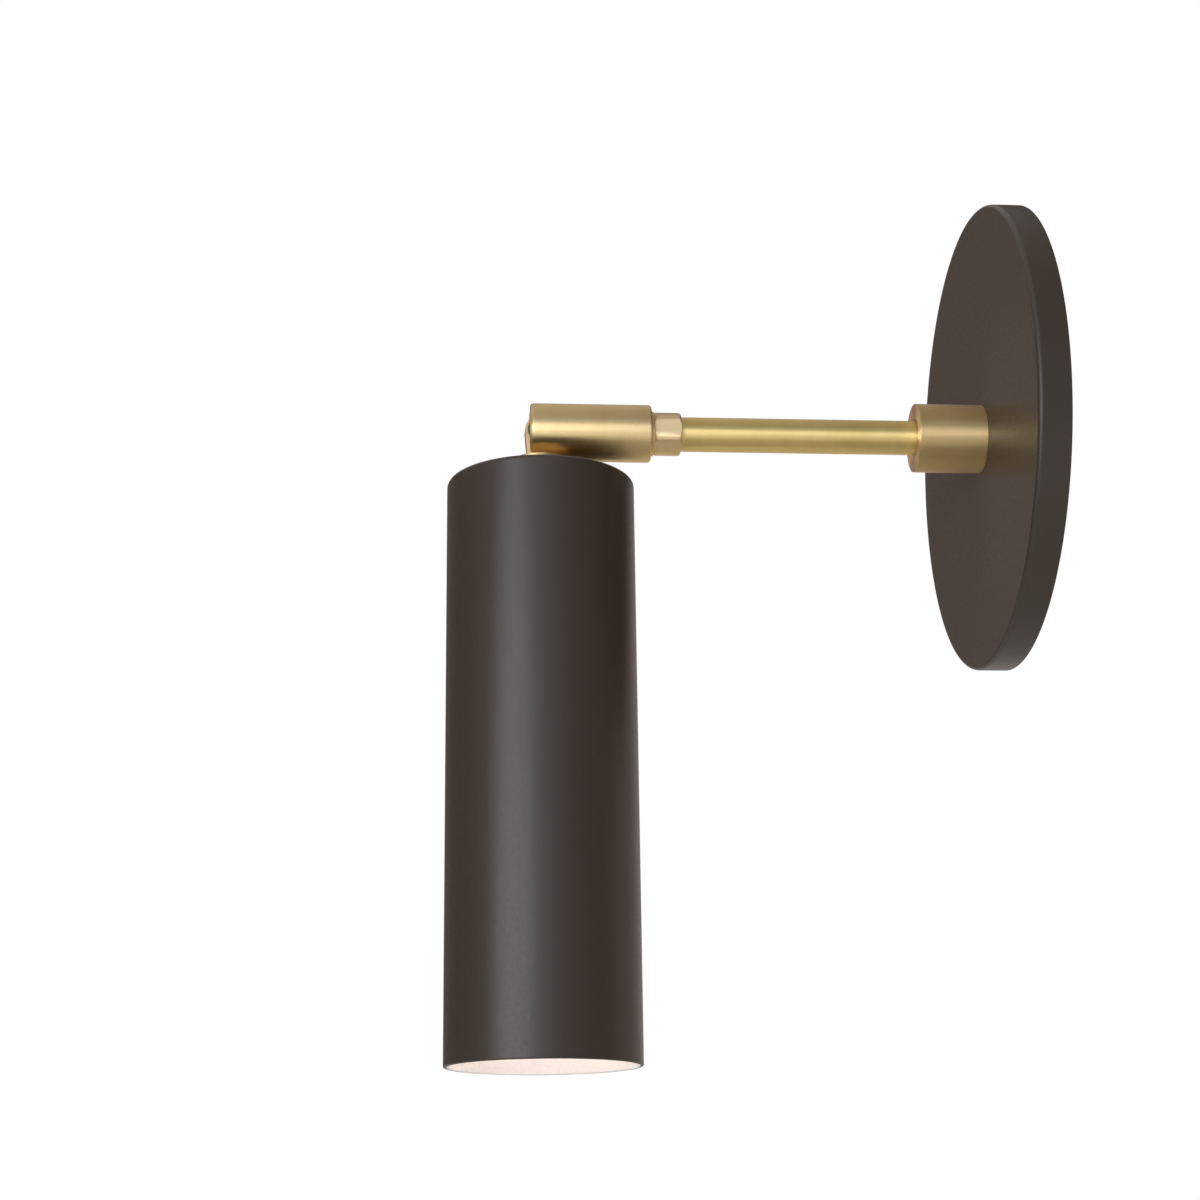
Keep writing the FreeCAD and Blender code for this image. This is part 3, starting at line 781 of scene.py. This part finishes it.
@dataclass
class Arm(SubAssembly):
    """Collar, stem, hexagon shank and washer, in millimetres from the wall."""

    body = Body.WALL
    collar_diameter: float = 19.05
    collar_start: float = 7.4
    collar_end: float = 26.2
    collar_back_edge: float = 0.1
    collar_front_edge: float = 0.2
    mouth_chamfer: float = 0.8
    mouth_edge: float = 0.12
    stem_floor: float = 16.8
    stem_diameter: float = 9.525
    stem_bore: float = 7.905
    hex_start: float = 91.7
    hex_end: float = 99.1
    hex_flats: float = 11.205
    hex_turned: float = 12.35
    hex_chamfer: float = 0.5
    tenon_diameter: float = 7.805
    tenon_length: float = 8.0
    spigot_diameter: float = 9.005
    spigot_bore: float = 5.005
    spigot_end: float = 113.886
    groove_place: float = 104.4
    groove_width: float = 1.8
    groove_depth: float = 1.0
    washer_diameter: float = 12.355
    washer_thickness: float = 0.7

    def build(self) -> None:
        """Make every piece of the arm."""
        self._collar()
        self._stem()
        self._shank()
        self._washer()

    def _collar(self) -> None:
        """Sleeve that clamps the plate, open in front for the stem."""
        radius, hole = self.collar_diameter / 2, self.stem_diameter / 2 + FIT
        length, mouth = self.collar_end - self.collar_start, hole + self.mouth_chamfer
        collar = turned([(hole, 0), (radius, 0), (radius, length), (mouth, length),
                         (hole, length - self.mouth_chamfer)], 160,
                        Rim(radius, 0, self.collar_back_edge),
                        Rim(radius, length, self.collar_front_edge),
                        Rim(mouth, length, self.mouth_edge))
        collar.normal_update()
        for face in collar.faces:
            # the front face gets the lighter brass copy (painted highlight), the round the darker
            # copy (painted shade)
            face.material_index = 1 if face.normal.z > 0.9 else 0
        self.hand_over("collar_sleeve", collar, self.collar_start, "satin_brass", "collar",
                       "painted_shade_brass", "painted_highlight_brass")

    def _stem(self) -> None:
        """Drawn tube between collar and hexagon."""
        radius, length = self.stem_diameter / 2, self.hex_start - self.stem_floor
        tube = turned(sleeve(self.stem_bore / 2, radius, 0, length), 128,
                      Rim(radius, length, BROKEN_EDGE, 2))
        self.hand_over("stem_pipe", tube, self.stem_floor, "stem_brass", "stem_tube",
                       "drawn_brass")

    def _shank(self) -> None:
        """Hexagon with turned corners, its tenon and its grooved spigot."""
        length = self.hex_end - self.hex_start
        hexagon = bar(self.hex_flats / math.cos(math.pi / 6), 0, length, steps=6)
        radius, cut = self.hex_turned / 2, self.hex_chamfer
        lathe = turned([(0, 0), (radius - cut, 0), (radius, cut), (radius, length - cut),
                        (radius - cut, length), (0, length)], 96)
        body = machined(hexagon, [lathe], "INTERSECT")
        spigot, tenon = self.spigot_diameter / 2, self.tenon_diameter / 2
        end, groove = self.spigot_end - self.hex_start, self.groove_place - self.hex_start
        low, high = groove - self.groove_width / 2, groove + self.groove_width / 2
        floor = spigot - self.groove_depth
        core = turned([(0, -self.tenon_length), (tenon, -self.tenon_length), (tenon, OVERRUN),
                       (spigot, OVERRUN), (spigot, low), (floor, low), (floor, high),
                       (spigot, high), (spigot, end), (0, end)], 96)
        body = machined(body, [core], "UNION")
        body = machined(body, [bar(self.spigot_bore, -self.tenon_length - OVERRUN, end + OVERRUN)])
        # the hexagon gets the lighter brass copy: a painted highlight on its flats
        self.hand_over("shank_hexagon", body, self.hex_start, "satin_brass", "swivel_shank",
                       "painted_highlight_brass", edge=MILLED_EDGE)

    def _washer(self) -> None:
        """Thin washer between hexagon and knuckle."""
        radius, hole = self.washer_diameter / 2, self.spigot_diameter / 2 + FIT
        ring = turned(sleeve(hole, radius, 0, self.washer_thickness), 96,
                      Rim(radius, 0, BROKEN_EDGE, 2),
                      Rim(radius, self.washer_thickness, BROKEN_EDGE, 2))
        self.hand_over("turn_ring", ring, self.hex_end, "satin_brass", "turn_washer",
                       "turned_brass")


@dataclass
class Swivel(SubAssembly):
    """Slotted knuckle with its pin, cross screw and friction washers, in millimetres."""

    body = Body.KNUCKLE
    start: float = 99.9
    diameter: float = 15.875
    length: float = 33.3
    edge: float = 1.1
    back_edge: float = 0.7
    spigot_hole: float = 9.105
    spigot_depth: float = 14.486
    wire_bore: float = 5.3
    slot_width: float = 5.4
    slot_floor: float = 21.8
    pivot_height: float = 30.3
    pivot_hole: float = 3.1
    pivot_tip: float = 6.2375
    tip_room: float = 0.5
    head_diameter: float = 4.6
    head_height: float = 1.6
    head_recess: float = 0.5
    head_room: float = 0.1
    head_edge: float = 0.4
    driver_width: float = 0.9
    driver_depth: float = 0.72
    screw_edge: float = 0.06
    pin_diameter: float = 1.6
    pin_setback: float = 4.5
    pin_floor: float = 3.6
    pin_room: float = 0.06
    washer_diameter: float = 7.0
    washer_thickness: float = 0.4

    def build(self) -> None:
        """Make every piece of the swivel that turns about the arm."""
        self._knuckle()
        self._pin()
        self._screw()
        self._washers()

    def _knuckle(self) -> None:
        """Turned body, bored behind and slotted in front."""
        radius, outside = self.diameter / 2, self.diameter / 2 + 2 * OVERRUN
        hole, bore = self.spigot_hole / 2, self.wire_bore / 2
        body = turned([(0, self.length), (radius, self.length), (radius, 0), (hole, 0),
                       (hole, self.spigot_depth), (bore, self.spigot_depth),
                       (bore, self.slot_floor), (0, self.slot_floor)], 144,
                      Rim(radius, self.length, self.edge, 5), Rim(radius, 0, self.back_edge, 5))
        reach = self.length - self.slot_floor
        slot = block((self.slot_width, self.diameter * 2, reach * 2),
                     (0, 0, self.slot_floor + reach))
        at = (0.0, 0.0, self.pivot_height)
        head_seat = -radius + self.head_recess + self.head_height
        tools = [slot, bar(self.pivot_hole, -outside, self.pivot_tip + self.tip_room, Axis.X, at),
                 bar(self.head_diameter + self.head_room, -outside, head_seat, Axis.X, at),
                 bar(self.pin_diameter + self.pin_room, 0, outside, Axis.X,
                     (0.0, 0.0, self.pin_setback))]
        self.hand_over("knuckle_body", machined(body, tools), self.start, "satin_brass",
                       "swivel_knuckle", "turned_brass", edge=MILLED_EDGE)

    def _pin(self) -> None:
        """Pin whose outer end is dressed flush with the round body."""
        tall = bar(self.pin_diameter, self.pin_floor, self.diameter, Axis.X,
                   (0.0, 0.0, self.pin_setback), steps=32)
        pin = machined(tall, [bar(self.diameter, 0, self.length, steps=144)], "INTERSECT")
        self.hand_over("stop_pin", pin, self.start, "satin_brass", "turn_pin", "turned_brass")

    def _screw(self) -> None:
        """Cross screw with a driver slot in its head."""
        face = self.diameter / 2 - self.head_recess
        seat = face - self.head_height
        radius, shank = self.head_diameter / 2, self.pivot_hole / 2 - FIT
        screw = turned([(0, -self.pivot_tip), (shank, -self.pivot_tip), (shank, seat),
                        (radius, seat), (radius, face), (0, face)], 64,
                       Rim(radius, face, self.head_edge))
        driver = block((self.head_diameter * 2, self.driver_width, self.head_height),
                       (0, 0, face + self.head_height / 2 - self.driver_depth))
        lift = Matrix.Translation((0.0, 0.0, self.pivot_height))
        self.hand_over("cross_screw", machined(screw, [driver]), self.start, "zinc_steel",
                       "pivot_screw", "zinc_steel", edge=self.screw_edge,
                       within=lift @ Matrix.Rotation(-QUARTER_TURN, 4, "Y"))

    def _washers(self) -> None:
        """Friction washers on both sides of the tongue."""
        at = (0.0, 0.0, self.pivot_height)
        inner, outer = self.slot_width / 2 - self.washer_thickness, self.slot_width / 2
        rings = [machined(bar(self.washer_diameter, low, high, Axis.X, at, steps=64),
                          [bar(self.pivot_hole, low - OVERRUN, high + OVERRUN, Axis.X, at)])
                 for low, high in ((inner, outer), (-outer, -inner))]
        self.hand_over("friction_rings", merged(rings), self.start, "friction_washer",
                       "pivot_washers", "friction_fibre")


@dataclass
class ShadeHead(SubAssembly):
    """Tongue with its hub and the round shade, in millimetres below the pivot."""

    body = Body.SHADE
    tongue_thickness: float = 4.4
    nose_radius: float = 4.3
    root_width: float = 7.2
    pivot_hole: float = 3.1
    hub_diameter: float = 15.875
    hub_top: float = 8.597
    hub_edge: float = 0.4
    thread_floor: float = 10.518
    thread_diameter: float = 9.625
    wire_way: float = 3.0
    wire_exit: Point = (0.0, -4.3, 3.869)
    shade_top: float = 15.457
    shade_diameter: float = 50.8
    shade_length: float = 155.8
    shade_wall: float = 1.2
    shade_top_wall: float = 1.5
    shade_edge: float = 1.3
    rim_edge: float = 0.35

    def build(self) -> None:
        """Make the pieces that hang from the pivot, and dress the hidden hardware."""
        self._tongue()
        self._shade()
        self.dress("zinc_thread_z", "shade_nipple")
        self.dress("zinc_steel", "shade_lock_washer", "shade_lock_nut")

    def _tongue(self) -> None:
        """Flat blade with a round nose, standing on its turned hub."""
        radius, half = self.hub_diameter / 2, self.tongue_thickness / 2
        hub = turned(sleeve(0, radius, self.hub_top, self.shade_top), 128,
                     Rim(radius, self.hub_top, self.hub_edge),
                     Rim(radius, self.shade_top, BROKEN_EDGE))
        nose = bar(2 * self.nose_radius, -half, half, Axis.X, steps=96)
        root = self.hub_top + OVERRUN
        blade = block((self.tongue_thickness, 2 * self.nose_radius, root), (0, 0, root / 2))
        for vert in blade.verts:
            if vert.co.z > self.hub_top / 2:
                vert.co.y *= self.root_width / (2 * self.nose_radius)
        body = machined(nose, [blade, hub], "UNION")
        start = Vector((0.0, 0.0, self.thread_floor + self.wire_way / 2))
        run = Vector(self.wire_exit) - start
        drill = bar(self.wire_way, 0, run.length + OVERRUN)
        rotate(drill, Vector((0, 0, 1)).rotation_difference(run).to_matrix())
        shift(drill, start)
        body = machined(body, [bar(self.pivot_hole, -half - OVERRUN, half + OVERRUN, Axis.X),
                               bar(self.thread_diameter, self.thread_floor,
                                   self.shade_top + OVERRUN), drill])
        for face in body.faces:
            flat = abs(face.normal.z) < 0.99 and face.calc_center_median().z < self.hub_top
            face.material_index = 1 if flat else 0
        self.hand_over("tongue_and_hub", body, 0, "satin_brass", "swivel_tongue", "hub_brass",
                       "sawn_brass", edge=MILLED_EDGE)

    def _shade(self) -> None:
        """Tube closed at its top, bronze outside and white inside."""
        radius, hole = self.shade_diameter / 2, self.thread_diameter / 2
        inside, roof, end = radius - self.shade_wall, self.shade_top_wall, self.shade_length
        tube = turned([(hole, 0), (radius, 0), (radius, end), (inside, end), (inside, roof),
                       (hole, roof)], 224,
                      Rim(radius, 0, self.shade_edge, 6), Rim(inside, roof, self.shade_edge / 2),
                      Rim(radius, end, self.rim_edge), Rim(inside, end, self.rim_edge))
        for face in tube.faces:
            middle = face.calc_center_median()
            within = middle.xy.length < inside + self.shade_wall / 3
            face.material_index = 1 if within and middle.z > roof / 2 else 0
        self.hand_over("shade_tube", tube, self.shade_top, "shade_bronze", "shade",
                       "bronze_paint", "shade_white")


@dataclass
class LampSet(SubAssembly):
    """Strap, ceramic holder and reflector lamp, in millimetres below the pivot."""

    body = Body.SHADE
    holder_back: float = 70.186
    holder_length: float = 17.0
    holder_diameter: float = 25.4
    holder_edge: float = 1.0
    chamber: Point = (6.8, 6.8, 9.5)
    back_wall: float = 3.0
    pin_spacing: float = 10.0
    key_diameter: float = 5.4
    lead_hole: float = 2.4
    screw_spacing: float = 15.0
    screw_hole: float = 3.1
    screw_depth: float = 6.0
    lamp_back: float = 87.186
    lamp_length: float = 46.0
    base_diameter: float = 22.0
    base_length: float = 20.0
    base_edge: float = 1.0
    neck_diameter: float = 20.0
    neck_length: float = 5.0
    neck_edge: float = 0.5
    rim_diameter: float = 35.3
    rim_length: float = 5.0
    rim_edge: float = 0.8
    swell: float = 0.9
    swell_steps: int = 8
    lens_diameter: float = 31.1
    lens_thickness: float = 2.6
    lens_recess: float = 0.5
    lens_edge: float = 0.7
    pin_diameter: float = 3.0
    pin_length: float = 7.5
    pin_head: float = 5.0
    pin_head_length: float = 2.5
    pin_edge: float = 0.4

    def build(self) -> None:
        """Make the lamp and its holder, and dress the hidden hardware."""
        self._holder()
        self._lamp()
        self._lens()
        self._pins()
        self.dress("zinc_steel", "holder_bracket", "bracket_nuts", "holder_screws")
        self.dress("sawn_brass", "holder_contacts")

    def _holder(self) -> None:
        """Ceramic body with two pin sockets."""
        radius, inside = self.holder_diameter / 2, self.back_wall + OVERRUN
        body = turned(sleeve(0, radius, 0, self.holder_length), 112,
                      Rim(radius, 0, self.holder_edge, 4),
                      Rim(radius, self.holder_length, self.holder_edge, 4))
        tools = []
        for x in (-self.pin_spacing / 2, self.pin_spacing / 2):
            at = (x, 0.0, 0.0)
            tools += [block(self.chamber, (x, 0, self.back_wall + self.chamber[2] / 2)),
                      bar(self.key_diameter, inside, self.holder_length + OVERRUN, at=at),
                      bar(self.lead_hole, -OVERRUN, inside, at=at, steps=24)]
        for y in (-self.screw_spacing / 2, self.screw_spacing / 2):
            tools.append(bar(self.screw_hole, -OVERRUN, self.screw_depth, at=(0.0, y, 0.0),
                             steps=24))
        self.hand_over("holder_block", machined(body, tools), self.holder_back,
                       "holder_ceramic", "lampholder", "holder_ceramic")

    def _lamp(self) -> None:
        """Housing that flares from its neck to the rim round the lens."""
        base, neck, rim = self.base_diameter / 2, self.neck_diameter / 2, self.rim_diameter / 2
        seat, floor, end = self.lens_diameter / 2 + FIT, self._lens_floor(), self.lamp_length
        neck_start = self.base_length - self.neck_length
        flare = end - self.rim_length - self.base_length
        outline = [(0.0, 0.0), (base, 0.0), (base, neck_start), (neck, neck_start)]
        for index in range(self.swell_steps + 1):
            share = index / self.swell_steps
            bulge = self.swell * math.sin(math.pi * share)
            outline.append((neck + (rim - neck) * share + bulge, self.base_length + flare * share))
        outline += [(rim, end), (seat, end), (seat, floor), (0.0, floor)]
        body = turned(outline, 144, Rim(rim, end, self.rim_edge), Rim(base, 0, self.base_edge),
                      Rim(base, neck_start, self.neck_edge))
        self.hand_over("lamp_housing", body, self.lamp_back, "lamp_housing", "lamp_body",
                       "lamp_housing")

    def _lens_floor(self) -> float:
        """Height of the lens's back above the lamp's."""
        return self.lamp_length - self.lens_recess - self.lens_thickness

    def _lens(self) -> None:
        """Flat lens with a bevelled rim."""
        radius, height = self.lens_diameter / 2, self.lens_thickness
        lens = turned([(0, 0), (radius, 0), (radius, height - self.lens_edge),
                       (radius - self.lens_edge, height), (0, height)], 128)
        self.hand_over("lit_lens", lens, self.lamp_back + self._lens_floor(), "lamp_lens",
                       "lamp_lens", "lamp_lens")

    def _pins(self) -> None:
        """Two headed pins out of the back of the lamp."""
        shank, head, tip = self.pin_diameter / 2, self.pin_head / 2, -self.pin_length
        step = tip + self.pin_head_length
        pins = []
        for x in (-self.pin_spacing / 2, self.pin_spacing / 2):
            pin = turned([(0, tip), (head, tip), (head, step), (shank, step), (shank, 0), (0, 0)],
                         40, Rim(head, tip, self.pin_edge))
            shift(pin, (x, 0, 0))
            pins.append(pin)
        self.hand_over("plug_pins", merged(pins), self.lamp_back, "zinc_steel", "lamp_pins",
                       "zinc_steel")


@dataclass(frozen=True)
class SoftBox:
    """A rectangular lamp aimed at the object, in metres and degrees.

    Its bearing is 0 towards +X and grows towards -Y.
    """

    name: str
    bearing: float
    height: float
    distance: float
    size: tuple[float, float]
    brightness: float
    colour: Colour = WHITE
    in_reflections: bool = True

    def place(self, target: Vector) -> None:
        """Put the lamp in the scene.

        Args:
            target: the point that it faces.
        """
        width, depth = self.size
        data = bpy.data.lights.new(self.name, "AREA")
        assign(data, shape="RECTANGLE", size=width, size_y=depth, color=self.colour,
               energy=self.brightness * math.pi * width * depth)
        lamp = bpy.data.objects.new(self.name, data)
        assign(lamp, visible_glossy=self.in_reflections, visible_camera=False)
        bearing, height = math.radians(self.bearing), math.radians(self.height)
        way = Vector((math.cos(height) * math.cos(bearing), -math.cos(height) * math.sin(bearing),
                      math.sin(height)))
        lamp.location = target + way * self.distance
        lamp.rotation_euler = (-way).to_track_quat("-Z", "Z").to_euler()
        bpy.context.scene.collection.objects.link(lamp)


class Facing(Enum):
    """How a card stands: the axis and the angle in degrees that turn it from lying level."""

    LEVEL = ("X", 0.0)
    UPRIGHT = ("Y", 90.0)
    ACROSS = ("X", 90.0)


@dataclass(frozen=True)
class ReflectionCard:
    """A plain card that only reflections see, in metres."""

    name: str
    centre: Point
    size: tuple[float, float]
    facing: Facing
    colour: Colour

    def place(self) -> None:
        """Put the card in the scene."""
        mesh = bmesh.new()
        bmesh.ops.create_grid(mesh, x_segments=1, y_segments=1, size=0.5)
        bmesh.ops.scale(mesh, verts=mesh.verts[:], vec=(*self.size, 1.0))
        axis, angle = self.facing.value
        rotate(mesh, Matrix.Rotation(math.radians(angle), 3, axis))
        shift(mesh, self.centre)
        card = loose_object(self.name, mesh)
        tree = NodeTree(self.name)
        glow = tree.add("Emission", Strength=1.0, Color=(*self.colour, 1.0))
        tree.feed(tree.nodes["Material Output"], Surface=glow.outputs[0])
        card.data.materials.append(tree.owner)
        assign(card, visible_camera=False, visible_diffuse=False, visible_shadow=False,
               visible_transmission=False)


WARM: Colour = (1.0, 0.84, 0.73)
DARK: Colour = (0.07, 0.06, 0.05)
DUSK: Colour = (0.25, 0.195, 0.17)
BOXES = (
    SoftBox("key_box", 39.0, 1.0, 0.8, (0.55, 0.62), 3.75, (0.88, 0.96, 1.10)),
    SoftBox("front_box", -7.0, 3.4, 0.73, (0.45, 0.62), 0.30, (0.75, 0.95, 1.4)),
    SoftBox("top_box", 60.0, 70.0, 1.5, (1.2, 1.2), 1.8, in_reflections=False),
    SoftBox("fill_box", 100.0, 0.0, 1.5, (1.2, 0.4), 0.8, WARM, False),
    SoftBox("wall_side_box", -80.0, 15.0, 1.5, (1.2, 1.2), 1.15, WARM, False))
CARDS = tuple(ReflectionCard(*row) for row in (
    ("high_card", (0.9, -0.3, 0.61), (0.38, 0.9), Facing.UPRIGHT, (0.85, 0.95, 1.1)),
    ("floor_card", (0.0, -0.5, -0.345), (4.0, 3.0), Facing.LEVEL, (0.60, 0.58, 0.54)),
    ("floor_glow", (0.62, -0.3, -0.34), (0.55, 0.9), Facing.LEVEL, WHITE),
    ("ceiling_card", (0.8, -1.14, 0.85), (3.4, 2.72), Facing.LEVEL, (0.63, 0.61, 0.59)),
    ("ceiling_dusk", (-1.7, -1.14, 0.85), (1.6, 2.72), Facing.LEVEL, DUSK),
    ("ceiling_flag", (0.0, 1.36, 0.85), (5.0, 2.28), Facing.LEVEL, DARK),
    ("back_card", (-1.8, 0.9, 0.25), (1.2, 2.2), Facing.UPRIGHT, (0.72, 0.64, 0.60)),
    ("plate_flag", (-1.8, -0.9, 0.25), (1.2, 1.4), Facing.UPRIGHT, DUSK),
    ("outer_flag", (-0.3, -1.6, 0.25), (3.0, 1.2), Facing.ACROSS, DARK),
    ("inner_card", (-0.85, 1.5, 0.25), (1.9, 1.2), Facing.ACROSS, (0.58, 0.50, 0.46)),
    ("inner_flag", (1.05, 1.5, 0.05), (1.9, 0.8), Facing.ACROSS, DARK),
    ("front_flag", (1.6, 0.85, 0.05), (0.8, 1.4), Facing.UPRIGHT, DARK)))


@dataclass(frozen=True)
class Studio:
    """Camera, lamps, floor and white surroundings, in metres and degrees."""

    eye: Point = (0.56977, -0.15987, -0.21811)
    yaw: float = 85.433
    pitch: float = 16.583
    roll: float = -0.74
    focal_share: float = 2215.83 / 1200
    sensor: float = 36.0
    floor_level: float = -0.35
    floor_radius: float = 4.0
    floor_grey: float = 0.80
    floor_lighter: float = 0.83
    floor_roughness: float = 0.8
    floor_white: float = 0.65
    surroundings: float = 0.45
    tone: Colour = (1.0, 0.94, 0.88)
    target: Point = (0.0, -0.09, -0.03)

    def build(self) -> None:
        """Set up the whole studio."""
        self._camera()
        self._surroundings()
        self._floor()
        for box in BOXES:
            box.place(Vector(self.target))
        for card in CARDS:
            card.place()
        bpy.context.scene.view_settings.view_transform = "Standard"

    def _camera(self) -> None:
        """Camera at the fitted viewpoint."""
        yaw, pitch, roll = (math.radians(value) for value in (self.yaw, self.pitch, self.roll))
        forward = Vector((-math.sin(yaw) * math.cos(pitch), math.cos(yaw) * math.cos(pitch),
                          math.sin(pitch)))
        level = Vector((math.cos(yaw), math.sin(yaw), 0.0))
        upright = level.cross(forward)
        right = math.cos(roll) * level + math.sin(roll) * upright
        up = -math.sin(roll) * level + math.cos(roll) * upright
        data = bpy.data.cameras.new("studio_camera")
        assign(data, sensor_width=self.sensor, lens=self.sensor * self.focal_share,
               clip_start=0.01)
        camera = bpy.data.objects.new("studio_camera", data)
        frame = Matrix((right, up, -forward)).transposed().to_4x4()
        camera.matrix_world = Matrix.Translation(self.eye) @ frame
        bpy.context.scene.collection.objects.link(camera)
        bpy.context.scene.camera = camera

    def _surroundings(self) -> None:
        """World that is white to the camera and in reflections, and plain grey as light."""
        world = bpy.data.worlds.new("studio_world")
        bpy.context.scene.world = world
        tree = NodeTree(world)
        clear = tree.seen_directly()
        tree.feed(tree.shader, Color=tree.tint(clear, self.tone, WHITE),
                  Strength=tree.between(clear, self.surroundings, 1.0))

    def _floor(self) -> None:
        """Pale floor with the lamp's shadow, lifted towards white, and clear from underneath."""
        mesh = bmesh.new()
        bmesh.ops.create_circle(mesh, cap_ends=True, segments=96, radius=self.floor_radius)
        shift(mesh, (0, 0, self.floor_level))
        floor = loose_object("studio_floor", mesh)
        tree = NodeTree("studio_floor")
        clouds = tree.tint(tree.noise(tree.place(), 6.0, 2.0), dimmed(WHITE, self.floor_grey),
                           dimmed(WHITE, self.floor_lighter))
        tree.feed(tree.shader, Base_Color=clouds, Roughness=self.floor_roughness)
        glow, clear = tree.add("Emission", Strength=1.0), tree.add("BsdfTransparent")
        share = tree.between(tree.seen_directly(), 0.0, self.floor_white)
        lifted = tree.combine("MixShader", share, tree.shader.outputs[0], glow.outputs[0])
        below = tree.add("NewGeometry").outputs["Backfacing"]
        cover = tree.combine("MixShader", below, lifted, clear.outputs[0])
        tree.feed(tree.nodes["Material Output"], Surface=cover)
        floor.data.materials.append(tree.owner)


def main() -> None:
    """Build the lamp's pieces, dress them and set up the studio."""
    logging.basicConfig(level=logging.INFO, format="%(name)s %(message)s")
    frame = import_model()
    Studio().build()
    materials = {finish.name: finish.material() for finish in FINISHES}
    for kind in (WallFixing, Arm, Swivel, ShadeHead, LampSet):
        log.info("building %s", kind.__name__)
        kind(materials, frame["nodes"]).build()


if __name__ == "__main__":
    main()
